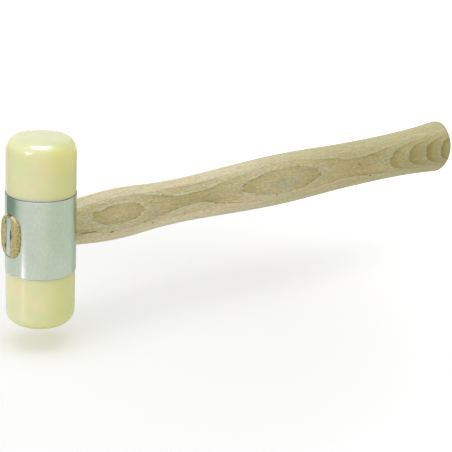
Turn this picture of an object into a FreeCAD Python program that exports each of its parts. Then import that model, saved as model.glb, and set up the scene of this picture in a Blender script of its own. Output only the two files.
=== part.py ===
import FreeCAD, Part
import math
import os

# Nylon mallet. Lengths are in millimetres and angles in degrees.
# The head's axis is Z and the handle's axis is X, and the origin is where the two cross.
# The handle points to +X, and the wedged end of its tenon to -X.

# Head sleeve: a length of steel tube with an oval eye through both walls
sleeve_diameter = 32.0
sleeve_wall = 2.5
sleeve_length = 36.4
sleeve_rim_chamfer = 0.2
sleeve_mouth_chamfer = 0.6

# Nylon faces: alike above and below. The shoulder seats on the sleeve's rim and leaves a narrow ledge of it,
# and the spigot reaches down the bore to just short of the tenon.
face_ledge = 0.3
face_stand_out = 26.75
face_corner_radius = 5.8
face_crown_radius = 51.8
face_shoulder_chamfer = 0.15
spigot_tenon_gap = 0.85
spigot_clearance = 0.05
spigot_chamfer = 0.8
spigot_groove_width = 1.4
spigot_groove_depth = 0.7

# Eye and tenon: an oval, taller than it is wide
eye_height = 20.5
eye_width = 13.4
eye_clearance = 0.04
tenon_stand_out = 1.05
tenon_edge_rounding = 1.0

# Handle: its reach from the head's axis, and its size at each swell and hollow on the way. The shoulder
# stands proud of the eye all round, and stops the handle there.
handle_reach = 267.4
shoulder_rise = 2.0
shoulder_side_rise = 1.3
neck_height = 22.0
neck_width = 15.2
palm_height = 26.5
palm_width = 19.4
waist_height = 24.4
waist_width = 17.7
butt_height = 29.7
butt_width = 21.8
butt_crown_radius = 130.0
butt_edge_rounding = 4.5

# Wedge and kerf: the wedge fills the middle of the kerf and leans a little, as it was driven. The kerf shows
# past both edges of the wedge and runs on past its tip.
wedge_length = 17.0
wedge_head_thickness = 3.1
wedge_tip_thickness = 1.3
wedge_tip_chamfer = 2.0
wedge_sink = 0.15
wedge_barb_depth = 0.25
wedge_barb_count = 4
wedge_lean_angle = 2.0
kerf_end_gap = 1.3
kerf_run_on = 6.8
kerf_floor_width = 1.1
kerf_clearance = 0.04

# Shares of the handle's free length at which the swells and hollows lie
shoulder_place_share = 0.103
neck_place_share = 0.223
palm_place_share = 0.516
waist_start_share = 0.727
waist_end_share = 0.778

# Shares of the half width that the oval's end arcs take: fuller at the eye than in the grip
eye_end_arc_share = 0.95
grip_end_arc_share = 0.74

# Share of the wedge's length that has plain flanks, and the number of sections between two swells
plain_flank_share = 0.3
sections_per_swell = 3

# Every cut runs past the solid that it cuts by this much
overrun = 2.0

ORIGIN = FreeCAD.Vector(0, 0, 0)
X_AXIS = FreeCAD.Vector(1, 0, 0)
Y_AXIS = FreeCAD.Vector(0, 1, 0)
Z_AXIS = FreeCAD.Vector(0, 0, 1)

sleeve_radius = sleeve_diameter / 2
bore_radius = sleeve_radius - sleeve_wall
rim_height = sleeve_length / 2
face_radius = sleeve_radius - face_ledge
tenon_end = -sleeve_radius - tenon_stand_out
wedge_head = tenon_end + wedge_sink
wedge_tip = wedge_head + wedge_length
wedge_width = eye_height - 2 * kerf_end_gap
wedge_taper = (wedge_head_thickness - wedge_tip_thickness) / wedge_length


def arc(start, middle, end):
    return Part.Arc(start, middle, end).toShape()


def polyline(points):
    return [Part.LineSegment(a, b).toShape() for a, b in zip(points[:-1], points[1:])]


def extruded(points, direction):
    """A prism from a closed outline of points."""
    return Part.Face(Part.Wire(polyline(points + points[:1]))).extrude(direction)


def revolved(edges):
    """Turns a closed outline in the XZ plane round the head's axis."""
    return Part.Face(Part.Wire(edges)).revolve(ORIGIN, Z_AXIS, 360)


def at(radius, height):
    """A point of an outline that is turned round the head's axis."""
    return FreeCAD.Vector(radius, 0, height)


def oval(x, height, width, end_arc_share):
    """A closed oval across the handle at x: two flat side arcs and two end arcs, tangent where they meet."""
    half_height = height / 2
    half_width = width / 2
    end_radius = half_width * end_arc_share
    end_centre = half_height - end_radius
    side_radius = (half_width ** 2 - end_radius ** 2 + end_centre ** 2) / (half_width - end_radius) / 2
    side_centre = half_width - side_radius
    turn = math.atan2(end_centre, -side_centre)
    meet_y = side_centre + side_radius * math.cos(turn)
    meet_z = side_radius * math.sin(turn)

    def point(y, z):
        return FreeCAD.Vector(x, y, z)

    return Part.Wire([
        arc(point(meet_y, -meet_z), point(half_width, 0), point(meet_y, meet_z)),
        arc(point(meet_y, meet_z), point(0, half_height), point(-meet_y, meet_z)),
        arc(point(-meet_y, meet_z), point(-half_width, 0), point(-meet_y, -meet_z)),
        arc(point(-meet_y, -meet_z), point(0, -half_height), point(meet_y, -meet_z)),
    ])


def oval_bar(start, end, height, width):
    """A straight bar along X with the eye's oval for its section."""
    section = Part.Face(oval(start, height, width, eye_end_arc_share))
    return section.extrude(X_AXIS * (end - start))


def head_sleeve():
    """The tube, chamfered inside and outside at both rims, with the eye cut through it."""
    upper_half = [
        at(bore_radius, rim_height - sleeve_mouth_chamfer),
        at(bore_radius + sleeve_mouth_chamfer, rim_height),
        at(sleeve_radius - sleeve_rim_chamfer, rim_height),
        at(sleeve_radius, rim_height - sleeve_rim_chamfer),
    ]
    lower_half = [at(point.x, -point.z) for point in reversed(upper_half)]
    tube = revolved(polyline(upper_half + lower_half + upper_half[:1]))
    eye = oval_bar(
        -sleeve_radius - overrun,
        sleeve_radius + overrun,
        eye_height + 2 * eye_clearance,
        eye_width + 2 * eye_clearance,
    )
    return tube.cut(eye)


def crowned_end():
    """The outline of a face's end: the crown's arc, then the corner's arc, tangent to the crown and the side."""
    top = rim_height + face_stand_out
    crown_centre = top - face_crown_radius
    corner_axis = face_radius - face_corner_radius
    corner_lean = math.asin(corner_axis / (face_crown_radius - face_corner_radius))
    corner_centre = crown_centre + (face_crown_radius - face_corner_radius) * math.cos(corner_lean)

    def on_crown(turn):
        return at(face_crown_radius * math.sin(turn), crown_centre + face_crown_radius * math.cos(turn))

    def on_corner(turn):
        return at(corner_axis + face_corner_radius * math.sin(turn),
                  corner_centre + face_corner_radius * math.cos(turn))

    square = math.pi / 2
    meet = on_crown(corner_lean)
    return [
        arc(at(0, top), on_crown(corner_lean / 2), meet),
        arc(meet, on_corner((corner_lean + square) / 2), on_corner(square)),
    ]


def upper_face():
    """The nylon face on the upper rim: crowned end, plain side, shoulder, relief groove and spigot."""
    end_edges = crowned_end()
    spigot_radius = bore_radius - spigot_clearance
    spigot_end = eye_height / 2 + spigot_tenon_gap
    groove_radius = spigot_radius - spigot_groove_depth
    groove_end = rim_height - spigot_groove_width
    below = [
        end_edges[-1].lastVertex().Point,
        at(face_radius, rim_height + face_shoulder_chamfer),
        at(face_radius - face_shoulder_chamfer, rim_height),
        at(groove_radius, rim_height),
        at(groove_radius, groove_end + spigot_groove_depth),
        at(spigot_radius, groove_end),
        at(spigot_radius, spigot_end + spigot_chamfer),
        at(spigot_radius - spigot_chamfer, spigot_end),
        at(0, spigot_end),
        at(0, rim_height + face_stand_out),
    ]
    return revolved(end_edges + polyline(below))


def lower_face():
    """The same face on the lower rim, turned over about the handle's axis."""
    return upper_face().rotate(ORIGIN, X_AXIS, 180)


def levelling(share):
    """Leaves the start at a slope and arrives level."""
    return math.sin(share * math.pi / 2)


def swelling(share):
    """Leaves level and arrives level."""
    return (1 - math.cos(share * math.pi)) / 2


def flaring(share):
    """Leaves level and arrives at a slope."""
    return share ** 2


def handle_body():
    """The free part of the handle: a loft through ovals, from the sleeve to the butt. Height, width and
    roundness pass from one swell or hollow to the next along the curve that is named with it."""
    free_length = handle_reach - sleeve_radius
    shoulder_height = eye_height + 2 * shoulder_rise
    shoulder_width = eye_width + 2 * shoulder_side_rise
    here = (0.0, eye_height, eye_width, eye_end_arc_share)
    marks = [
        (levelling, (shoulder_place_share, shoulder_height, shoulder_width, grip_end_arc_share)),
        (swelling, (neck_place_share, neck_height, neck_width, grip_end_arc_share)),
        (swelling, (palm_place_share, palm_height, palm_width, grip_end_arc_share)),
        (swelling, (waist_start_share, waist_height, waist_width, grip_end_arc_share)),
        (swelling, (waist_end_share, waist_height, waist_width, grip_end_arc_share)),
        (flaring, (1.0, butt_height, butt_width, grip_end_arc_share)),
    ]
    sections = [oval(sleeve_radius, *here[1:])]
    for curve, there in marks:
        steps = sections_per_swell if there[1] != here[1] else 1
        for step in range(1, steps + 1):
            share = step / steps
            place = here[0] + (there[0] - here[0]) * share
            sizes = [a + (b - a) * curve(share) for a, b in zip(here[1:], there[1:])]
            sections.append(oval(sleeve_radius + free_length * place, *sizes))
        here = there
    return Part.makeLoft(sections, True, False)


def butt_waste():
    """What comes off the butt so that its end is crowned: all that lies outside a large ball."""
    size = butt_height + overrun
    corner = FreeCAD.Vector(handle_reach - size / 2, -size / 2, -size / 2)
    ball_centre = FreeCAD.Vector(handle_reach - butt_crown_radius, 0, 0)
    return Part.makeBox(size, size, size, corner).cut(Part.makeSphere(butt_crown_radius, ball_centre))


def kerf():
    """The saw kerf in the tenon's end. The wedge has spread it, so its walls lie along the wedge's flanks
    as far as the wedge's tip, and then narrow to the saw's own width at the floor."""
    start = tenon_end - overrun
    mouth = (wedge_head_thickness + wedge_taper * (wedge_head - start)) / 2 + kerf_clearance
    throat = wedge_tip_thickness / 2 + kerf_clearance
    bottom = -eye_height / 2 - overrun
    one_wall = [
        (start, mouth),
        (wedge_tip, throat),
        (wedge_tip + kerf_run_on, kerf_floor_width / 2),
    ]
    points = [FreeCAD.Vector(x, y, bottom) for x, y in one_wall]
    points += [FreeCAD.Vector(x, -y, bottom) for x, y in reversed(one_wall)]
    slot = extruded(points, Z_AXIS * (-2 * bottom))
    return slot.rotate(ORIGIN, X_AXIS, wedge_lean_angle)


def handle():
    """Tenon and body in one piece, with the butt crowned and rounded and the kerf sawn in the tenon."""
    body = handle_body().cut(butt_waste())
    crown = [face for face in body.Faces if isinstance(face.Surface, Part.Sphere)]
    body = body.makeFillet(butt_edge_rounding, crown[0].Edges)
    tenon = oval_bar(tenon_end, sleeve_radius, eye_height, eye_width)
    end_edges = [edge for edge in tenon.Edges if edge.BoundBox.XMax < 0]
    tenon = tenon.makeFillet(tenon_edge_rounding, end_edges)
    return body.fuse(tenon).cut(kerf())


def wedge():
    """A flat steel wedge. Its flanks are plain near the head, then barbed against drawing out, and its
    corners are clipped at the tip."""
    plain_end = wedge_head + wedge_length * plain_flank_share
    barb_length = (wedge_tip - plain_end) / wedge_barb_count

    def flank(x):
        return (wedge_head_thickness - wedge_taper * (x - wedge_head)) / 2

    one_flank = [(wedge_head, flank(wedge_head)), (plain_end, flank(plain_end))]
    for number in range(1, wedge_barb_count):
        catch = plain_end + number * barb_length
        one_flank.append((catch, flank(catch) - wedge_barb_depth))
        one_flank.append((catch, flank(catch)))
    one_flank.append((wedge_tip, flank(wedge_tip) - wedge_barb_depth))

    half_width = wedge_width / 2
    flat = [FreeCAD.Vector(x, y, -half_width) for x, y in one_flank]
    flat += [FreeCAD.Vector(x, -y, -half_width) for x, y in reversed(one_flank)]
    one_edge = [
        (wedge_head, half_width),
        (wedge_tip - wedge_tip_chamfer, half_width),
        (wedge_tip, half_width - wedge_tip_chamfer),
    ]
    side = [FreeCAD.Vector(x, -wedge_head_thickness, z) for x, z in one_edge]
    side += [FreeCAD.Vector(x, -wedge_head_thickness, -z) for x, z in reversed(one_edge)]
    blank = extruded(flat, Z_AXIS * wedge_width)
    outline = extruded(side, Y_AXIS * (2 * wedge_head_thickness))
    return blank.common(outline).rotate(ORIGIN, X_AXIS, wedge_lean_angle)


pieces = {
    "head_sleeve": head_sleeve(),
    "upper_face": upper_face(),
    "lower_face": lower_face(),
    "handle": handle(),
    "wedge": wedge(),
}

os.makedirs("parts", exist_ok=True)
for name, shape in pieces.items():
    shape.exportStep("parts/" + name + ".step")
    print(name, "solids", len(shape.Solids), "volume", round(shape.Volume, 1), "valid", shape.isValid())
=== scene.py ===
import math

import bpy
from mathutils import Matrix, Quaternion, Vector


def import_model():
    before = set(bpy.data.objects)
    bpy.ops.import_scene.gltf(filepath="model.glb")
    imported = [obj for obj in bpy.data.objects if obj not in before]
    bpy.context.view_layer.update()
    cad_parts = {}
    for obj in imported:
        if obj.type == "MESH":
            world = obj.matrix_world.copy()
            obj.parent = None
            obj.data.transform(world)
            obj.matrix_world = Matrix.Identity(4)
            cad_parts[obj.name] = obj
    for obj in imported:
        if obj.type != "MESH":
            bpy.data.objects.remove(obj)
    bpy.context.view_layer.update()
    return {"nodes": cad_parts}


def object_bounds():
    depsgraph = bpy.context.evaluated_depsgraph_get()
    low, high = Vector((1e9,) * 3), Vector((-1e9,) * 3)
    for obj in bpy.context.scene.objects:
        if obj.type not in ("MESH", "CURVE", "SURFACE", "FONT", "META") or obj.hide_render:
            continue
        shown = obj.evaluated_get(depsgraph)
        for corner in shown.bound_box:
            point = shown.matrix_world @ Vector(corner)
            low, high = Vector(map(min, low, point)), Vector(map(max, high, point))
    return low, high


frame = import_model()
nodes = frame["nodes"]

MM = 0.001
WHITE = (1.0, 1.0, 1.0)


def linear(red, green, blue):
    """A colour written as 0 to 255 display values, as linear light."""
    def channel(value):
        value /= 255
        return value / 12.92 if value <= 0.04045 else ((value + 0.055) / 1.055) ** 2.4
    return (channel(red), channel(green), channel(blue), 1.0)


def grey(value):
    return (value, value, value, 1.0)


class Look:
    """The node tree of a material or of the world. Its methods add nodes and return their output sockets."""

    def __init__(self, owner):
        owner.use_nodes = True
        self.owner = owner
        self.tree = owner.node_tree
        self.tree.nodes.clear()

    def node(self, kind, inputs=(), **settings):
        made = self.tree.nodes.new(kind)
        for name, value in settings.items():
            setattr(made, name, value)
        for name, value in dict(inputs).items():
            if isinstance(value, bpy.types.NodeSocket):
                self.tree.links.new(value, made.inputs[name])
            else:
                made.inputs[name].default_value = value
        return made

    def math(self, operation, first, second=0.0):
        return self.node("ShaderNodeMath", {0: first, 1: second}, operation=operation).outputs[0]

    def product(self, first, *others):
        for other in others:
            first = self.math("MULTIPLY", first, other)
        return first

    def total(self, first, *others):
        for other in others:
            first = self.math("ADD", first, other)
        return first

    def vector(self, operation, first, second=None, third=None, scale=None):
        inputs = {0: first, 1: second, 2: third, "Scale": scale}
        inputs = {name: value for name, value in inputs.items() if value is not None}
        return self.node("ShaderNodeVectorMath", inputs, operation=operation).outputs[0]

    def dot(self, first, second):
        return self.node("ShaderNodeVectorMath", {0: first, 1: second}, operation="DOT_PRODUCT").outputs["Value"]

    def length(self, vector):
        return self.node("ShaderNodeVectorMath", {0: vector}, operation="LENGTH").outputs["Value"]

    def split(self, vector):
        return self.node("ShaderNodeSeparateXYZ", {0: vector}).outputs

    def join(self, x=0.0, y=0.0, z=0.0):
        return self.node("ShaderNodeCombineXYZ", {0: x, 1: y, 2: z}).outputs[0]

    def place(self):
        """The place in a piece's own frame, in metres, which for a CAD node is the part's frame."""
        return self.node("ShaderNodeTexCoord").outputs["Object"]

    def millimetres(self):
        return self.vector("SCALE", self.place(), scale=1 / MM)

    def normal(self):
        return self.node("ShaderNodeNewGeometry").outputs["Normal"]

    def from_oval(self, place, middle, halves):
        """How far a place is from the middle of an oval, whose edge is at 1. An axis with no half doesn't count."""
        away = self.vector("SUBTRACT", place, middle)
        return self.length(self.vector("MULTIPLY", away, [1 / half if half else 0.0 for half in halves]))

    def remap(self, value, low, high, to_low=0.0, to_high=1.0, smooth=False):
        made = self.node("ShaderNodeMapRange", {
            "Value": value, "From Min": low, "From Max": high, "To Min": to_low, "To Max": to_high})
        made.interpolation_type = "SMOOTHSTEP" if smooth else "LINEAR"
        return made.outputs["Result"]

    def noise(self, place, lengths, detail, roughness=0.5, offset=(0, 0, 0), span=None):
        """Noise from 0 to 1, or as its span reads it. Its features are about as long as lengths says."""
        scaled = self.vector("MULTIPLY", place, [1 / length for length in lengths])
        moved = self.vector("ADD", scaled, offset)
        made = self.node("ShaderNodeTexNoise", {
            "Vector": moved, "Scale": 1.0, "Detail": detail, "Roughness": roughness}).outputs["Fac"]
        return self.remap(made, *span) if span else made

    def ramp(self, factor, stops):
        made = self.node("ShaderNodeValToRGB", {0: factor})
        band = made.color_ramp
        while len(band.elements) < len(stops):
            band.elements.new(1.0)
        for element, (place, colour) in zip(band.elements, stops):
            element.position = place
            element.color = colour
        return made.outputs["Color"]

    def mix(self, factor, first, second, blend="MIX"):
        made = self.node("ShaderNodeMix", {0: factor, 6: first, 7: second}, data_type="RGBA")
        made.blend_type = blend
        return made.outputs[2]

    def times(self, colour, tint):
        return self.mix(1.0, colour, tint, "MULTIPLY")

    def shaded(self, colour, value):
        """The colour made darker or lighter by a value near 1."""
        return self.times(colour, self.join(value, value, value))

    def bump(self, height, distance, strength):
        return self.node("ShaderNodeBump", {
            "Height": height, "Distance": distance, "Strength": strength}).outputs["Normal"]

    def end(self, shader, kind="ShaderNodeOutputMaterial"):
        """Ends the tree with a shader, and returns the material or world."""
        self.node(kind, {"Surface": shader})
        return self.owner

    def principled(self, inputs):
        return self.end(self.node("ShaderNodeBsdfPrincipled", inputs).outputs[0])


def new_look(name):
    return Look(bpy.data.materials.new(name))


# The part's own materials are written in millimetres along the part's axes. Four numbers that go into remap read a
# value from the first to the second as something from the third to the fourth, and two read it from 0 to 1.

# Growth rings of the handle. Their centre lies on the -Y side, above the handle's axis by an angle that is smaller
# towards the butt. The drift says how far the rings lean in or out along the handle.
PITH_DISTANCE = 140.0
PITH_LIFT = (168.0, 198.0, math.radians(10), math.radians(3.5))
# A ring's width, and how far the edge of one lies from the handle's axis where the drift is 0
RING_WIDTH, RING_START = 1.7, 0.2
DRIFT_ALONG = (-20.0, 280.0)
DRIFT_REACH = (-12.0, 0.0)
DRIFT = [
    (-20, -7.4), (16, -7.35), (37, -7.2), (60, -8.32), (82, -9.05), (111, -8.75), (142, -8.15),
    (164.5, -9.3), (176, -9.5), (187, -9.62), (198, -9.4), (216.5, -8.76), (233, -7.44), (246, -6.21),
    (268, -3.93),
]
# How far along the handle the drift is read on both sides of a point to get its slope, and the least pace at which
# the rings are taken to pass along the surface
SLOPE_REACH = 1.5
LEAST_PACE = 0.05
# The rings waver slowly, run out in fingers, which fade at the butt, and are ragged by single fibres
WAVER = dict(lengths=(26, 7, 7), detail=2, span=(0, 1, -0.4, 0.4))
FINGERS = dict(lengths=(11, 1.5, 1.5), detail=2, span=(0, 1, -0.2, 0.2))
FINGERS_FADE = (195, 220, 1.0, 0.3)
FIBRE_WAVER = dict(lengths=(6, 0.55, 0.55), detail=3, span=(0, 1, -0.15, 0.15))
# Towards the butt the rings lie closer to the surface's own slope, so that they come out as round arcs: how far the
# surface is from the handle's axis, and how much closer the rings lie, by their depth under the surface and by the
# place along the handle
BUTT_SURFACE = (212, 267, 8.85, 10.9)
ARC_SLANT = (0.8, 3.2, -0.58, 0.0)
ARCS_BEGIN = (205, 226)
ARCS_STEEPEN = (238, 252, 1.0, 0.72)
# How much the rings are seen end on, close together and faint, by how steeply they cut the surface
EDGE_ON_MOST = 0.92
EDGE_ON = (0.3, 0.72, 0.0, EDGE_ON_MOST)

# Along a ring from its outer edge inwards: dense wood, plain wood and porous wood
RING_COLOURS = [
    (0.0, linear(180, 169, 112)),
    (0.14, linear(188, 177, 120)),
    (0.42, linear(206, 194, 144)),
    (0.62, linear(209, 197, 149)),
    (0.76, linear(205, 202, 160)),
    (1.0, linear(203, 201, 162)),
]
# How much the colours of a ring are evened out along the handle, and the colour of rings that are seen end on
CALM_GRIP, CALM_BUTT = (90, 120, 0.44, 0.6), (190, 215, 0.0, -0.22)
MEAN_WOOD = linear(204, 193, 146)
PLAIN_WOOD, PLAIN_WOOD_FAR = linear(232, 222, 184), linear(218, 210, 168)
PLAIN_CHANGES = (100, 150)
# The line between two rings comes and goes, and has a dashed pale edge outside it
RING_LINE_COLOUR = linear(134, 118, 70)
RING_LINE = (0.06, 0.34, 1.0, 0.0)
RING_LINE_BREAKS = dict(lengths=(16, 2.2, 2.2), detail=2, span=(0.35, 0.6, 0.2, 1.0))
RING_LINE_EDGE_ON = (0.0, EDGE_ON_MOST, 0.75, 0.03)
PALE_EDGE_COLOUR = linear(222, 219, 184)
PALE_EDGE_BEGINS, PALE_EDGE_ENDS = (0.25, 0.5), (0.9, 1.5, 1.0, 0.0)
PALE_EDGE_DASHES = dict(lengths=(20, 4, 4), detail=4, span=(0.42, 0.62, 0.0, 0.65))
PALE_EDGE_EDGE_ON = (0.0, EDGE_ON_MOST, 1.0, 0.1)
INNER_HALF = 0.5

# Towards the butt the dense wood inside each line is a deeper olive
OLIVE_WOOD = linear(160, 145, 50)
OLIVE_IN_RING, OLIVE_ALONG, OLIVE_EDGE_ON = (0.0, 0.4, 1.0, 0.0), (200, 250, 0.05, 0.52), (0.0, 0.7, 1.0, 0.1)
# Painted shade: the wood is painted darker towards the butt, where less light falls, less so on its top, and once
# more low down at its end
BUTT_SHADE_TINT, BUTT_SHADE_ALONG = linear(237, 237, 224), (120, 230)
LESS_SHADE_EDGE_ON, LESS_SHADE_ALONG = (0.2, EDGE_ON_MOST), (195, 235, 0.0, 0.35)
BUTT_END_SHADE_TINT, BUTT_END_SHADE_ALONG, BUTT_END_SHADE_HEIGHT = linear(243, 242, 236), (222, 246), (9, 4)
# Painted light from the pale floor: along the lower side the wood is painted a little paler and pinker: its gain,
# upper edge, foot and two ends
FLOOR_LIGHT_GAIN = (0.15, 0.11, 0.15)
FLOOR_LIGHT_TOP, FLOOR_LIGHT_FOOT = (1.5, -3.0), (-8.0, -5.0, 0.1, 1.0)
FLOOR_LIGHT_BEGINS, FLOOR_LIGHT_ENDS = (44, 60), (214, 232, 1.0, 0.0)
# Porous patches where the surface just touches the next ring: place along the handle, height, half length, half
# height
PATCHES = [(140.0, 0.6, 12.0, 4.0), (58.0, -0.6, 5.0, 6.0)]
PATCH_COLOUR, PATCH_STRENGTH = linear(194, 193, 153), 0.7
PATCH_EDGE = (0.5, 1.2, 1.0, 0.0)
PATCH_RAGS = dict(lengths=(5, 0.8, 0.8), detail=3, span=(0.3, 0.7, -0.4, 0.4))

# Long fibres, finer streaks, and speckles, which are weaker where the rings are seen end on and at the butt
STREAKS = dict(lengths=(34, 1.5, 1.5), detail=4, span=(0.3, 0.7, 0.94, 1.05))
FINE_STREAKS = dict(lengths=(9, 0.5, 0.5), detail=3, roughness=0.6, span=(0.3, 0.7, 0.91, 1.08))
SPECKLES = dict(lengths=(1.7, 0.6, 0.6), detail=3, roughness=0.7, span=(0.3, 0.7, -0.24, 0.21))
SPECKLES_EDGE_ON, SPECKLES_ALONG = (0.0, EDGE_ON_MOST, 1.0, 0.7), (205, 240, 1.0, 0.75)
# Shifts of tint, with a gain for each channel, and slow warmer patches
TINT_LENGTHS, TINT_DETAIL = (2.4, 0.9, 0.9), 2.0
TINT_GAIN, TINT_MIDDLE = (0.32, 0.24, 0.68), (0.5, 0.5, 0.5)
WARM_PATCHES = dict(lengths=(40, 6, 6), detail=2, span=(0.35, 0.65))
WARM_TINT, WARM_STRENGTH = linear(255, 243, 234), 0.4
# Pores: short pale dashes with dark ends, crowded in the porous wood. The relief and the gloss follow them too.
PORES = dict(lengths=(2.6, 0.24, 0.24), detail=2, roughness=0.65)
POROUS_IN_RING = (0.68, 0.85)
PALE_PORES, DARK_PORES, DARK_PORES_IN_RING = (0.56, 0.66), (0.42, 0.33), (0, 1, 0.35, 1.0)
PALE_PORE_COLOUR, PALE_PORE_STRENGTH = linear(226, 224, 200), 0.6
DARK_PORE_COLOUR, DARK_PORE_STRENGTH = linear(128, 112, 76), 0.35
# Small dark marks in the wood of the side that the camera sees: place along the handle and in height, half
# length, half height and strength
FLECKS = [
    (34.5, -5.6, 1.5, 0.5, 0.8), (53.2, -4.0, 0.9, 0.4, 0.5), (58.5, -5.8, 0.8, 0.4, 0.5),
    (64.5, 7.0, 1.0, 0.4, 0.5), (135.3, -4.5, 0.8, 0.5, 0.6), (159.3, 1.8, 0.9, 0.4, 0.5),
    (193.5, 2.6, 1.0, 0.4, 0.6), (203.8, -5.7, 1.2, 0.5, 0.8), (207.8, 4.7, 0.9, 0.4, 0.5),
    (21.5, -3.5, 6.5, 0.28, 0.8),
]
FLECK_COLOUR, FLECK_EDGE = linear(104, 72, 34), (0.5, 1.2)
# End grain shows where the surface is turned to the handle's axis, and its pores are dots
END_GRAIN, END_STRENGTH = (0.6, 0.95), 0.85
END_DOTS = dict(lengths=(0.7, 0.22, 0.22), detail=2, span=(0.5, 0.62))
END_WOOD, END_PORE, END_DOTTED = linear(184, 167, 117), linear(140, 120, 78), 0.6
# Relief and gloss
PORE_RELIEF, STREAK_RELIEF = 0.6, 0.5
WOOD_RELIEF, WOOD_BUMP = 0.06 * MM, 0.6
WOOD_ROUGHNESS, WOOD_SPECULAR = (0.3, 0.7, 0.5, 0.66), 0.15

# The tenon stands proud of the sleeve, which is this far out
SLEEVE_RADIUS = 16.0
TENON_STARTS = (0.0, 0.1)
TENON_LIGHT, TENON_DARK, TENON_PINK = linear(214, 202, 142), linear(142, 128, 74), linear(206, 172, 136)
TENON_MOTTLE, TENON_LIGHTER = dict(lengths=(1.4, 0.9, 1.1), detail=4, roughness=0.7), (0.35, 0.62)
TENON_BLUSH = dict(lengths=(1.5, 1.5, 1.5), detail=2, offset=(7, 3, 5), span=(0.5, 0.68, 0.0, 0.55))
# Its upper edge, where it faces up, has a painted pale highlight, and a painted dark line of shade, broken by the
# mottling, runs where it meets the sleeve
TENON_RIM_HIGHLIGHT, TENON_RIM_FACING_UP = linear(244, 226, 184), (0.4, 0.75, 0.0, 0.8)
FIT_SHADE_COLOUR, FIT_SHADE_LINE, FIT_SHADE_BREAKS = linear(52, 40, 18), (0.15, 0.55, 1.0, 0.0), (0.35, 0.58, 1.0, 0.3)
# Splits beside the wedge: place across and in height, half width, half height
SPLITS = [(-2.1, 1.2, 0.6, 3.0), (2.3, -4.6, 0.45, 1.5), (2.3, 6.2, 0.35, 1.2)]
SPLIT_COLOUR, SPLIT_EDGE = linear(24, 18, 6), (0.7, 1.1, 1.0, 0.0)
# The walls of the saw kerf: how far they are from the middle at most, how squarely they face it, and up to where
# along the handle they are fresh
SAWN_WOOD, SAWN_STRENGTH = linear(182, 146, 66), 0.85
KERF_REACH, KERF_SQUARE, KERF_END = 2.0, 0.8, -9.0


def drift_at(look, x):
    """How far the rings lean in or out at a place along the handle."""
    start, end = DRIFT_ALONG
    low, high = DRIFT_REACH
    curve = look.node("ShaderNodeFloatCurve", {"Value": look.remap(x, start, end)})
    points = curve.mapping.curves[0].points
    while len(points) < len(DRIFT):
        points.new(0.5, 0.5)
    for point, (along, drift) in zip(points, DRIFT):
        point.location = ((along - start) / (end - start), (drift - low) / (high - low))
    curve.mapping.update()
    return look.remap(curve.outputs[0], 0, 1, low, high)


def along_surface(look, gradient, normal):
    """The length of the part of a gradient that lies in the surface."""
    off = look.vector("SCALE", normal, scale=look.dot(gradient, normal))
    return look.length(look.vector("SUBTRACT", gradient, off))


def rings(look, place, normal):
    """How far into its ring a place is, from 0 at the ring's outer edge to 1, how many millimetres it is along the
    surface from the line between two rings, and how much the rings are seen end on there."""
    x = look.split(place)[0]
    lift = look.remap(x, *PITH_LIFT, smooth=True)
    pith = look.join(x, look.math("MULTIPLY", look.math("COSINE", lift), -PITH_DISTANCE),
                     look.math("MULTIPLY", look.math("SINE", lift), PITH_DISTANCE))
    across = look.vector("SUBTRACT", place, pith)
    nearest = look.math("SUBTRACT", PITH_DISTANCE, look.remap(x, *BUTT_SURFACE, smooth=True))
    past_nearest = look.math("SUBTRACT", look.length(across), nearest)
    slant = look.product(look.remap(past_nearest, *ARC_SLANT, smooth=True),
                         look.remap(x, *ARCS_BEGIN, smooth=True), look.remap(x, *ARCS_STEEPEN))
    slant = look.math("ADD", slant, 1.0)
    depth = look.math("ADD", nearest, look.math("MULTIPLY", past_nearest, slant))
    level = look.math("SUBTRACT", look.math("ADD", drift_at(look, x), PITH_DISTANCE - RING_START), depth)
    fingers = look.math("MULTIPLY", look.noise(place, **FINGERS), look.remap(x, *FINGERS_FADE))
    fibres = look.math("ADD", look.noise(place, **FIBRE_WAVER), fingers)
    level = look.total(level, look.noise(place, **WAVER), fibres)
    phase = look.math("FRACT", look.math("DIVIDE", level, RING_WIDTH))

    # How fast the rings pass along the surface: it keeps the line between two rings equally thin everywhere
    rise = look.math("SUBTRACT", drift_at(look, look.math("ADD", x, SLOPE_REACH)),
                     drift_at(look, look.math("SUBTRACT", x, SLOPE_REACH)))
    lean = look.join(look.math("DIVIDE", rise, 2 * SLOPE_REACH))
    outward = look.vector("NORMALIZE", across)
    steepness = along_surface(look, look.vector("SUBTRACT", lean, outward), normal)
    slanted = look.vector("SCALE", outward, scale=slant)
    pace = along_surface(look, look.vector("SUBTRACT", lean, slanted), normal)
    pace = look.math("MAXIMUM", pace, LEAST_PACE)
    to_line = look.math("MINIMUM", phase, look.math("SUBTRACT", 1.0, phase))
    to_line = look.math("DIVIDE", look.math("MULTIPLY", to_line, RING_WIDTH), pace)
    return phase, to_line, look.remap(steepness, *EDGE_ON, smooth=True)


def ring_colour(look, place, phase, to_line, edge_on):
    x = look.split(place)[0]
    calm = look.total(look.remap(x, *CALM_GRIP), look.remap(x, *CALM_BUTT))
    colour = look.mix(calm, look.ramp(phase, RING_COLOURS), MEAN_WOOD)
    plain = look.mix(look.remap(x, *PLAIN_CHANGES), PLAIN_WOOD, PLAIN_WOOD_FAR)
    colour = look.mix(edge_on, colour, plain)
    line = look.product(look.remap(to_line, *RING_LINE, smooth=True), look.noise(place, **RING_LINE_BREAKS),
                        look.remap(edge_on, *RING_LINE_EDGE_ON))
    colour = look.mix(line, colour, RING_LINE_COLOUR)
    outside = look.product(look.remap(to_line, *PALE_EDGE_BEGINS, smooth=True),
                           look.remap(to_line, *PALE_EDGE_ENDS, smooth=True),
                           look.math("GREATER_THAN", phase, INNER_HALF),
                           look.noise(place, **PALE_EDGE_DASHES), look.remap(edge_on, *PALE_EDGE_EDGE_ON))
    return look.mix(outside, colour, PALE_EDGE_COLOUR)


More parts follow.
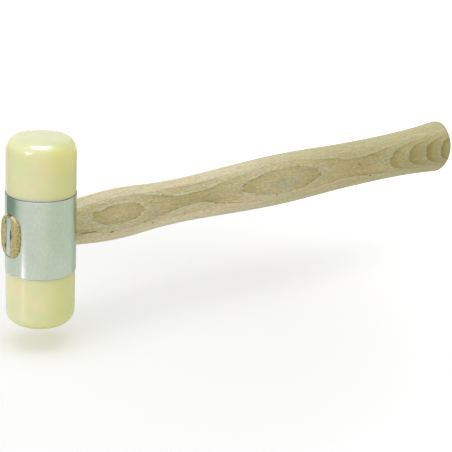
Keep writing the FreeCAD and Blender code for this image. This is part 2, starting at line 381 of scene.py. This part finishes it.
def along_handle(look, colour, place, phase, edge_on, near_side):
    """The olive wood, the painted shade towards the butt, the painted light along the lower side and the porous
    patches.
    """
    x, y, z = look.split(place)
    dense = look.product(look.remap(phase, *OLIVE_IN_RING), look.remap(x, *OLIVE_ALONG),
                         look.remap(edge_on, *OLIVE_EDGE_ON))
    colour = look.mix(dense, colour, OLIVE_WOOD)
    # Painted shade: darker towards the butt, less so where the rings are seen end on, then once more low at the
    # butt's end
    less_shade = look.product(look.remap(edge_on, *LESS_SHADE_EDGE_ON), look.remap(x, *LESS_SHADE_ALONG))
    painted_shade = look.math("SUBTRACT", look.remap(x, *BUTT_SHADE_ALONG), less_shade)
    colour = look.mix(painted_shade, colour, look.times(colour, BUTT_SHADE_TINT))
    painted_shade = look.product(look.remap(x, *BUTT_END_SHADE_ALONG), look.remap(z, *BUTT_END_SHADE_HEIGHT))
    colour = look.mix(painted_shade, colour, look.times(colour, BUTT_END_SHADE_TINT))
    # Painted light, as from the floor below, on the lower side of the handle
    painted_floor_light = look.product(look.remap(z, *FLOOR_LIGHT_TOP, smooth=True), look.remap(x, *FLOOR_LIGHT_BEGINS),
                           look.remap(x, *FLOOR_LIGHT_ENDS), look.remap(z, *FLOOR_LIGHT_FOOT))
    lighter = look.vector("MULTIPLY_ADD", FLOOR_LIGHT_GAIN, look.join(painted_floor_light, painted_floor_light, painted_floor_light), WHITE)
    colour = look.times(colour, lighter)

    patches = 0.0
    rags = look.noise(place, **PATCH_RAGS)
    for along, height, half_length, half_height in PATCHES:
        away = look.from_oval(place, (along, 0.0, height), (half_length, None, half_height))
        patch = look.remap(look.math("ADD", away, rags), *PATCH_EDGE, smooth=True)
        patches = look.math("MAXIMUM", patches, patch)
    return look.mix(look.product(patches, near_side, PATCH_STRENGTH), colour, PATCH_COLOUR)


def textured(look, colour, place, edge_on, fine):
    """The fibres, streaks and speckles, and the shifts of tint."""
    x = look.split(place)[0]
    reach = look.product(look.remap(edge_on, *SPECKLES_EDGE_ON), look.remap(x, *SPECKLES_ALONG))
    speckles = look.product(look.noise(place, **SPECKLES), reach)
    for shade in (look.noise(place, **STREAKS), fine, look.math("ADD", speckles, 1.0)):
        colour = look.shaded(colour, shade)
    scaled = look.vector("MULTIPLY", place, [1 / length for length in TINT_LENGTHS])
    wander = look.node("ShaderNodeTexNoise", {"Vector": scaled, "Scale": 1.0, "Detail": TINT_DETAIL})
    wander = look.vector("SUBTRACT", wander.outputs["Color"], TINT_MIDDLE)
    colour = look.times(colour, look.vector("MULTIPLY_ADD", wander, TINT_GAIN, WHITE))
    warm = look.math("MULTIPLY", look.noise(place, **WARM_PATCHES), WARM_STRENGTH)
    return look.mix(warm, colour, look.times(colour, WARM_TINT))


def with_pores(look, colour, pores, phase):
    porous = look.remap(phase, *POROUS_IN_RING, smooth=True)
    pale = look.product(look.remap(pores, *PALE_PORES), porous, PALE_PORE_STRENGTH)
    dark = look.product(look.remap(pores, *DARK_PORES), look.remap(porous, *DARK_PORES_IN_RING), DARK_PORE_STRENGTH)
    colour = look.mix(pale, colour, PALE_PORE_COLOUR)
    return look.mix(dark, colour, DARK_PORE_COLOUR)


def flecks(look, place):
    """The small dark marks, from 0 to 1."""
    marks = 0.0
    for along, height, half_length, half_height, strength in FLECKS:
        away = look.from_oval(place, (along, 0.0, height), (half_length, None, half_height))
        marks = look.math("MAXIMUM", marks, look.remap(away, *FLECK_EDGE, strength, 0.0, smooth=True))
    return marks


def with_end_grain(look, colour, place, face):
    """The darker end grain of the butt and the tenon."""
    end_grain = look.remap(look.math("ABSOLUTE", face[0]), *END_GRAIN, smooth=True)
    dotted = look.mix(look.noise(place, **END_DOTS), END_WOOD, END_PORE)
    end_colour = look.mix(END_DOTTED, colour, dotted)
    return look.mix(look.math("MULTIPLY", end_grain, END_STRENGTH), colour, end_colour)


def with_tenon_end(look, colour, place, face):
    """The struck wood of the tenon where it stands out of the sleeve, with a painted highlight on its upper edge
    and a painted line of shade where it meets the sleeve, and the sawn walls of its kerf.
    """
    x, y, z = look.split(place)
    away = look.math("SQRT", look.total(look.product(x, x), look.product(y, y)))
    proud = look.math("SUBTRACT", away, SLEEVE_RADIUS)
    on_end = look.product(look.remap(proud, *TENON_STARTS), look.math("LESS_THAN", x, 0.0))
    mottle = look.noise(place, **TENON_MOTTLE)
    struck = look.mix(look.remap(mottle, *TENON_LIGHTER), TENON_DARK, TENON_LIGHT)
    struck = look.mix(look.noise(place, **TENON_BLUSH), struck, TENON_PINK)
    # Painted highlight on the tenon's upward-facing upper edge
    struck = look.mix(look.remap(face[2], *TENON_RIM_FACING_UP), struck, TENON_RIM_HIGHLIGHT)
    for across, height, half_width, half_height in SPLITS:
        from_split = look.from_oval(place, (0.0, across, height), (None, half_width, half_height))
        struck = look.mix(look.remap(from_split, *SPLIT_EDGE), struck, SPLIT_COLOUR)
    # Painted shade: a dark line on the tenon's side wall where it meets the sleeve
    fit_shade = look.product(look.remap(proud, *FIT_SHADE_LINE), look.remap(mottle, *FIT_SHADE_BREAKS))
    colour = look.mix(on_end, colour, look.mix(fit_shade, struck, FIT_SHADE_COLOUR))

    in_middle = look.math("LESS_THAN", look.math("ABSOLUTE", y), KERF_REACH)
    wall = look.math("GREATER_THAN", look.math("ABSOLUTE", face[1]), KERF_SQUARE)
    kerf = look.product(in_middle, wall, look.math("LESS_THAN", x, KERF_END), SAWN_STRENGTH)
    return look.mix(kerf, colour, SAWN_WOOD)


def ash():
    look = new_look("ash")
    place = look.millimetres()
    normal = look.normal()
    face = look.split(normal)
    near_side = look.math("LESS_THAN", look.split(place)[1], 0.0)
    fine = look.noise(place, **FINE_STREAKS)
    pores = look.noise(place, **PORES)

    phase, to_line, edge_on = rings(look, place, normal)
    colour = ring_colour(look, place, phase, to_line, edge_on)
    colour = along_handle(look, colour, place, phase, edge_on, near_side)
    colour = textured(look, colour, place, edge_on, fine)
    colour = with_pores(look, colour, pores, phase)
    colour = look.mix(look.product(flecks(look, place), near_side), colour, FLECK_COLOUR)
    colour = with_end_grain(look, colour, place, face)
    colour = with_tenon_end(look, colour, place, face)

    relief = look.total(look.product(pores, PORE_RELIEF), look.product(fine, STREAK_RELIEF))
    return look.principled({
        "Base Color": colour,
        "Roughness": look.remap(pores, *WOOD_ROUGHNESS),
        "Normal": look.bump(relief, WOOD_RELIEF, WOOD_BUMP),
        "Specular IOR Level": WOOD_SPECULAR,
    })


# Nylon: two shades that change slowly at random, and a painted shade, yellower, towards the handle's side, away
# from the light: its colour, the direction of that side, and where it begins and is full
NYLON_CLOUD = dict(lengths=(11, 11, 11), detail=2, span=(0.38, 0.62))
NYLON_COLOURS = linear(241, 234, 187), linear(233, 235, 185)
SHADED_SIDE_COLOUR, SHADED_SIDE, SHADED_SIDE_SPAN = linear(230, 231, 158), (0.8, -0.6), (-2.0, 15.0)
# A painted band of shade, warmer and yellower, under the upper corner on that side
SHADE_BAND_COLOUR, SHADE_BAND_STRENGTH = linear(250, 240, 156), 0.7
SHADE_BAND_FOOT, SHADE_BAND_TOP = (28, 36), (43, 39)
# By how much the surface faces up: painted light makes the crowns a little greener, and painted shade makes the
# edge underneath darker
LIT_CROWN_COLOUR, CROWN_FACING_UP = linear(227, 235, 188), (0.55, 0.95, 0.0, 0.75)
UNDERSIDE_SHADE_COLOUR, UNDERSIDE_FACING_DOWN = linear(218, 217, 106), (-0.4, -0.85)
SCUFFS = dict(lengths=(9, 9, 4), detail=4, roughness=0.6)
NYLON_ROUGHNESS = (0.35, 0.7, 0.13, 0.19)
NYLON_RELIEF, NYLON_BUMP = 0.01 * MM, 0.3
NYLON_IOR = 1.53
NYLON_DEPTH, NYLON_DEPTH_BY_COLOUR = 3.5 * MM, (1.0, 0.95, 0.35)


def nylon():
    look = new_look("nylon")
    place = look.millimetres()
    x, y, z = look.split(place)
    colour = look.mix(look.noise(place, **NYLON_CLOUD), *NYLON_COLOURS)
    # Painted shade: yellower towards the handle's side, away from the light
    to_side = look.total(look.math("MULTIPLY", x, SHADED_SIDE[0]), look.math("MULTIPLY", y, SHADED_SIDE[1]))
    shaded_side = look.remap(to_side, *SHADED_SIDE_SPAN, smooth=True)
    colour = look.mix(shaded_side, colour, SHADED_SIDE_COLOUR)
    # Painted shade under the upper corner, on the shaded side
    band = look.product(look.remap(z, *SHADE_BAND_FOOT, smooth=True), look.remap(z, *SHADE_BAND_TOP, smooth=True),
                        shaded_side, SHADE_BAND_STRENGTH)
    colour = look.mix(band, colour, SHADE_BAND_COLOUR)
    upward = look.split(look.normal())[2]
    # Painted light on the up-facing crowns
    colour = look.mix(look.remap(upward, *CROWN_FACING_UP), colour, LIT_CROWN_COLOUR)
    # Painted shade on the down-facing edge underneath
    colour = look.mix(look.remap(upward, *UNDERSIDE_FACING_DOWN), colour, UNDERSIDE_SHADE_COLOUR)
    scuffs = look.noise(place, **SCUFFS)
    return look.principled({
        "Base Color": colour,
        "Roughness": look.remap(scuffs, *NYLON_ROUGHNESS),
        "Normal": look.bump(scuffs, NYLON_RELIEF, NYLON_BUMP),
        "IOR": NYLON_IOR,
        "Subsurface Weight": 1.0,
        "Subsurface Radius": NYLON_DEPTH_BY_COLOUR,
        "Subsurface Scale": NYLON_DEPTH,
    })


# Steel of the sleeve. The brush marks are noise over the turn round the axis, in radians, and the height.
BRUSH = dict(lengths=(0.05, 22, 1.0), detail=4, roughness=0.7)
STEEL_PATCHES = dict(lengths=(7, 7, 9), detail=3, span=(0.3, 0.7))
STEEL_COLOURS = linear(194, 204, 187), linear(200, 209, 193)
BRUSH_COLOUR, BRUSH_DARKENS, BRUSH_STRENGTH = linear(186, 196, 180), (0.35, 0.65), 0.3
STEEL_MOTTLE = dict(lengths=(0.9, 0.9, 1.4), detail=3, roughness=0.65, span=(0.3, 0.7, 0.95, 1.04))
# The sawn rims, beyond this height, are rougher; the lower one is painted lighter, painted light over the dark
# floor it reflects, and the upper one darker, painted shade over the highlight it catches
RIM = (17.98, 18.06)
LOWER_RIM_PAINTED_LIGHT, UPPER_RIM_PAINTED_SHADE = linear(214, 220, 203), linear(108, 112, 101)
STEEL_ROUGHNESS, RIM_ROUGHNESS = (0.3, 0.7, 0.18, 0.23), 0.4
STEEL_RELIEF, STEEL_BUMP = 0.004 * MM, 0.3
# Anisotropy of the gloss, turned by a quarter from the direction round the axis
STEEL_ANISOTROPY, STEEL_QUARTER_TURN = 0.6, 0.25


def brushed_steel():
    look = new_look("sleeve_steel")
    place = look.millimetres()
    x, y, z = look.split(place)
    brush = look.noise(look.join(look.math("ARCTAN2", y, x), z), **BRUSH)
    colour = look.mix(look.noise(place, **STEEL_PATCHES), *STEEL_COLOURS)
    darker = look.math("MULTIPLY", look.remap(brush, *BRUSH_DARKENS), BRUSH_STRENGTH)
    colour = look.mix(darker, colour, BRUSH_COLOUR)
    colour = look.shaded(colour, look.noise(place, **STEEL_MOTTLE))
    rim = look.remap(look.math("ABSOLUTE", z), *RIM)
    # Painted light on the lower rim and painted shade on the upper rim
    rim_light_and_shade = look.mix(look.math("GREATER_THAN", z, 0.0), LOWER_RIM_PAINTED_LIGHT, UPPER_RIM_PAINTED_SHADE)
    colour = look.mix(rim, colour, rim_light_and_shade)
    return look.principled({
        "Base Color": colour,
        "Metallic": 1.0,
        "Roughness": look.total(look.remap(brush, *STEEL_ROUGHNESS), look.math("MULTIPLY", rim, RIM_ROUGHNESS)),
        "Normal": look.bump(brush, STEEL_RELIEF, STEEL_BUMP),
        "Anisotropic": STEEL_ANISOTROPY,
        "Anisotropic Rotation": STEEL_QUARTER_TURN,
        "Tangent": look.node("ShaderNodeTangent", direction_type="RADIAL", axis="Z").outputs[0],
    })


# Steel of the wedge, with the dents of the hammer that drove it
DENTS, DENTS_PALE = dict(lengths=(1.6, 1.6, 2.4), detail=4, roughness=0.6), (0.35, 0.65)
WEDGE_COLOURS = linear(197, 221, 230), linear(223, 242, 244)
WEDGE_METALLIC, WEDGE_ROUGHNESS = 0.9, 0.38
WEDGE_RELIEF, WEDGE_BUMP = 0.12 * MM, 0.6


def wedge_steel():
    look = new_look("wedge_steel")
    dents = look.noise(look.millimetres(), **DENTS)
    return look.principled({
        "Base Color": look.mix(look.remap(dents, *DENTS_PALE), *WEDGE_COLOURS),
        "Metallic": WEDGE_METALLIC,
        "Roughness": WEDGE_ROUGHNESS,
        "Normal": look.bump(dents, WEDGE_RELIEF, WEDGE_BUMP),
    })


def dress(node, material):
    mesh = nodes[node].data
    mesh.materials.clear()
    mesh.materials.append(material)


nylon_look = nylon()
dress("head_sleeve", brushed_steel())
dress("upper_face", nylon_look)
dress("lower_face", nylon_look)
dress("handle", ash())
dress("wedge", wedge_steel())


# The studio, in metres. The floor lies below the lower face by the travel of that face off its seat.
FLOOR_GAP = 0.0102
FLOOR_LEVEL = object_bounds()[0].z - FLOOR_GAP
FLOOR_SIZE = 12.0
FLOOR_COLOUR = 0.82
# The floor's own glow, which only the camera and the reflections see, by the distance from the head: less near the
# object, so that its shadow stays, and more further away, where the floor is to be white
FLOOR_GLOW = (0.12, 0.5, 0.25, 0.95)

# A ring wall and a round tray on the floor, which only the reflections show, stand for the room round the table.
# Their colours change with the azimuth in degrees, and so does the wall's top.
SURROUND_STEPS = 120
SURROUND_RADIUS = 0.15
SURROUND_TOP = 0.004
SURROUND_COLOURS = [
    (-180, (0.88, 0.9, 0.88)), (-132, (0.96, 0.96, 0.96)), (-112, (0.95, 0.95, 0.9)), (-92, (0.82, 0.88, 0.78)),
    (-73, (0.77, 0.84, 0.74)), (-38, (0.79, 0.84, 0.79)), (-12, (0.76, 0.81, 0.76)), (10, (0.45, 0.5, 0.42)),
    (60, (0.5, 0.55, 0.5)), (90, (0.9, 0.9, 0.9)), (99, (0.98, 1.0, 1.0)), (104, (0.28, 0.39, 0.32)),
    (147, (0.28, 0.38, 0.33)), (157, (0.57, 0.64, 0.6)), (169, (0.82, 0.86, 0.84)), (180, (0.88, 0.9, 0.88)),
]
# From and to which azimuth the wall is higher, and how high
SURROUND_RAISED = [(250, 360, 0.006), (98, 152, 0.06)]
TRAY_INSIDE, TRAY_LIFT = 0.03, 0.0003
TRAY_COLOURS = [
    (-180, (0.99, 0.99, 0.99)), (-132, (0.99, 0.99, 0.98)), (-112, (0.94, 0.94, 0.9)), (-92, (0.91, 0.94, 0.89)),
    (-60, (0.88, 0.92, 0.88)), (-15, (0.83, 0.88, 0.83)), (0, (0.64, 0.69, 0.62)), (60, (0.5, 0.55, 0.5)),
    (100, (1.0, 1.0, 1.0)), (180, (0.99, 0.99, 0.99)),
]

# Cards that only the reflections show: name, direction from the head (azimuth and elevation in degrees), distance,
# width, height, level
CARDS = [
    ("canopy", -124, 80, 0.95, 0.7, 0.74, 13.0),
    ("left_card", -166, 20, 0.9, 0.3, 0.2, 14.0),
]
# A cool white, so that the highlights on the yellowish nylon come out white
CARD_COLOUR = (0.5, 0.52, 1.0)
# The share of a card's width or height, from its middle, at which it begins to fade
CARD_FADE = 0.42

# A narrow bright card on the floor beside the head, which the satin steel shows as an upright streak
STREAK_AZIMUTH = 179.0
STREAK_START, STREAK_FADE, STREAK_END = 0.035, 0.11, 0.165
STREAK_WIDTH = 0.05
STREAK_LIFT = 0.001
STREAK_COLOUR, STREAK_LEVEL = (1.0, 0.82, 1.03, 1.0), 2.9
# Across the streak, from the side away from the camera to the one beside it: how much of its level it has
STREAK_PROFILE = [
    (0.0, 0.0), (0.44, 0.0), (0.51, 0.8), (0.54, 1.0), (0.65, 1.0), (0.69, 0.5), (0.78, 0.36), (1.0, 0.0),
]

# Light that the world sends to the object: less from the handle's side than from the opposite one
WORLD_LEVEL = (-1.0, 1.0, 0.74, 0.54)
# How much brighter the reflections find the sky than the horizon, and how much brighter still high up on the
# camera's side
SKY_EXTRA = (0.1, 0.5, 0.0, 0.35)
SKY_HIGH, SKY_HIGH_FROM, SKY_HIGH_POWER = 2.3, (0.2, 1.0), 1.6
SKY_FRONT, SKY_FRONT_FROM = (-0.56, -0.83), (-0.25, 0.15)

# Lamps: name, direction from the head (azimuth and elevation in degrees), distance, width, height, power, turn
LAMPS = [
    ("overhead", -110, 84, 1.1, 1.0, 0.9, 2.85, -40),
    ("left_strip", -165, 24, 0.9, 0.4, 0.2, 1.15, 0),
]

# Camera: its place and line of sight in the part's frame, its roll, and its lens on a 36 mm sensor
CAMERA_PLACE = Vector((-0.3253, -0.5009, 0.2159))
CAMERA_LOOK = Vector((0.61837, 0.71149, -0.33377))
CAMERA_ROLL = 0.0537
CAMERA_LENS, SENSOR_WIDTH = 111.58, 36.0
CAMERA_CLIP = (0.01, 100.0)


def direction(azimuth, elevation):
    azimuth, elevation = math.radians(azimuth), math.radians(elevation)
    return Vector((math.cos(azimuth) * math.cos(elevation), math.sin(azimuth) * math.cos(elevation),
                   math.sin(elevation)))


def facing(way):
    """The turn of a thing that lies out that way and faces the head."""
    return (-way).to_track_quat("-Z", "Y")


def staged(name, corners, faces):
    """A piece of the studio from its corners and faces. It isn't part of the object."""
    mesh = bpy.data.meshes.new(name)
    mesh.from_pydata(corners, [], faces)
    made = bpy.data.objects.new(name, mesh)
    bpy.context.scene.collection.objects.link(made)
    return made


def only_reflected(made, look, colour, strength=1.0):
    """Gives a piece of the studio its glow, and hides it from all but the reflections."""
    glow = look.node("ShaderNodeEmission", {"Color": colour, "Strength": strength}).outputs[0]
    made.data.materials.append(look.end(glow))
    made.visible_camera = False
    made.visible_diffuse = False
    made.visible_shadow = False
    made.visible_transmission = False


def seen(look):
    """1 for a ray from the camera, a reflection or glass, and 0 for the light that falls on the object."""
    path = look.node("ShaderNodeLightPath").outputs
    clear = look.math("MAXIMUM", path["Is Glossy Ray"], path["Is Transmission Ray"])
    return look.math("MAXIMUM", path["Is Camera Ray"], clear)


def floor():
    half = FLOOR_SIZE / 2
    corners = [(x, y, FLOOR_LEVEL) for x, y in ((-half, -half), (half, -half), (half, half), (-half, half))]
    made = staged("floor", corners, [(0, 1, 2, 3)])
    look = new_look("floor")
    glow = look.math("MULTIPLY", seen(look), look.remap(look.length(look.place()), *FLOOR_GLOW, smooth=True))
    diffuse = look.node("ShaderNodeBsdfDiffuse", {"Color": grey(FLOOR_COLOUR)}).outputs[0]
    emission = look.node("ShaderNodeEmission", {"Color": grey(1.0), "Strength": glow}).outputs[0]
    both = look.node("ShaderNodeAddShader", {0: diffuse, 1: emission}).outputs[0]
    made.data.materials.append(look.end(both))


def surround():
    foot = FLOOR_LEVEL + TRAY_LIFT
    corners = []
    for step in range(SURROUND_STEPS):
        turn = 2 * math.pi * step / SURROUND_STEPS
        top = SURROUND_TOP
        for low, high, raised in SURROUND_RAISED:
            if low < math.degrees(turn) < high:
                top = raised
        for radius, height in ((TRAY_INSIDE, foot), (SURROUND_RADIUS, foot), (SURROUND_RADIUS, top)):
            corners.append((radius * math.cos(turn), radius * math.sin(turn), height))
    faces = []
    for step in range(SURROUND_STEPS):
        here, there = 3 * step, 3 * ((step + 1) % SURROUND_STEPS)
        faces.append((here, here + 1, there + 1, there))
        faces.append((here + 1, here + 2, there + 2, there + 1))
    made = staged("surround", corners, faces)
    look = new_look("surround")
    x, y, z = look.split(look.place())
    share = look.remap(look.math("ARCTAN2", y, x), -math.pi, math.pi)
    wall, tray = (look.ramp(share, [((turn + 180) / 360, (*level, 1.0)) for turn, level in colours])
                  for colours in (SURROUND_COLOURS, TRAY_COLOURS))
    on_wall = look.math("GREATER_THAN", z, FLOOR_LEVEL + 2 * TRAY_LIFT)
    only_reflected(made, look, look.mix(on_wall, tray, wall))


def card(name, azimuth, elevation, distance, width, height, level):
    """A pale card with soft edges, turned to the head."""
    back = direction(azimuth, elevation)
    turn = facing(back)
    corners = [turn @ Vector((across * width / 2, up * height / 2, 0))
               for across, up in ((-1, -1), (1, -1), (1, 1), (-1, 1))]
    made = staged(name, corners, [(0, 1, 2, 3)])
    made.location = back * distance
    look = new_look(name)
    place = look.place()
    soft = 1.0
    for way, size in ((Vector((1, 0, 0)), width), (Vector((0, 1, 0)), height)):
        from_middle = look.math("ABSOLUTE", look.dot(place, turn @ way))
        fade = look.remap(from_middle, size * CARD_FADE, size / 2, 1.0, 0.0, smooth=True)
        soft = look.math("MULTIPLY", soft, fade)
    gain = [level * part - 1.0 for part in CARD_COLOUR]
    only_reflected(made, look, look.vector("MULTIPLY_ADD", look.join(soft, soft, soft), gain, WHITE))


def streak():
    turn = math.radians(STREAK_AZIMUTH)
    along = Vector((math.cos(turn), math.sin(turn), 0))
    aside = Vector((-along.y, along.x, 0)) * STREAK_WIDTH / 2
    lift = Vector((0, 0, FLOOR_LEVEL + STREAK_LIFT))
    corners = [along * STREAK_START - aside, along * STREAK_START + aside,
               along * STREAK_END + aside, along * STREAK_END - aside]
    made = staged("streak", [corner + lift for corner in corners], [(0, 1, 2, 3)])
    look = new_look("streak")
    place = look.place()
    near = look.remap(look.length(place), STREAK_FADE, STREAK_END, 1.0, 0.0, smooth=True)
    side = look.remap(look.dot(place, aside.normalized()), -STREAK_WIDTH / 2, STREAK_WIDTH / 2)
    profile = look.ramp(side, [(share, grey(level)) for share, level in STREAK_PROFILE])
    level = look.math("ADD", look.product(near, profile, STREAK_LEVEL - 1), 1.0)
    only_reflected(made, look, look.mix(profile, grey(1.0), STREAK_COLOUR), level)


def world():
    made = bpy.data.worlds.new("studio")
    bpy.context.scene.world = made
    look = Look(made)
    east, north, up = look.split(look.node("ShaderNodeTexCoord").outputs["Generated"])
    shown = seen(look)
    lit = look.math("MULTIPLY", look.remap(east, *WORLD_LEVEL), look.math("SUBTRACT", 1.0, shown))
    front = look.total(look.math("MULTIPLY", east, SKY_FRONT[0]), look.math("MULTIPLY", north, SKY_FRONT[1]))
    high = look.product(look.math("POWER", look.remap(up, *SKY_HIGH_FROM), SKY_HIGH_POWER),
                        look.remap(front, *SKY_FRONT_FROM, smooth=True), SKY_HIGH)
    sky = look.total(look.remap(up, *SKY_EXTRA), high)
    glossy = look.node("ShaderNodeLightPath").outputs["Is Glossy Ray"]
    strength = look.total(lit, shown, look.product(sky, glossy))
    background = look.node("ShaderNodeBackground", {"Color": grey(1.0), "Strength": strength}).outputs[0]
    look.end(background, "ShaderNodeOutputWorld")


def lamps():
    for name, azimuth, elevation, distance, width, height, power, turn in LAMPS:
        data = bpy.data.lights.new(name, "AREA")
        data.shape = "RECTANGLE"
        data.size, data.size_y = width, height
        data.energy = power
        made = bpy.data.objects.new(name, data)
        back = direction(azimuth, elevation)
        made.location = back * distance
        made.rotation_mode = "QUATERNION"
        made.rotation_quaternion = facing(back) @ Quaternion((0, 0, 1), math.radians(turn))
        bpy.context.scene.collection.objects.link(made)


def camera():
    data = bpy.data.cameras.new("camera")
    data.sensor_width = SENSOR_WIDTH
    data.lens = CAMERA_LENS
    data.clip_start, data.clip_end = CAMERA_CLIP
    made = bpy.data.objects.new("camera", data)
    made.location = CAMERA_PLACE
    made.rotation_mode = "QUATERNION"
    made.rotation_quaternion = CAMERA_LOOK.to_track_quat("-Z", "Y") @ Quaternion((0, 0, 1), CAMERA_ROLL)
    bpy.context.scene.collection.objects.link(made)
    bpy.context.scene.camera = made


floor()
surround()
for settings in CARDS:
    card(*settings)
streak()
world()
lamps()
camera()
bpy.context.scene.view_settings.view_transform = "Standard"
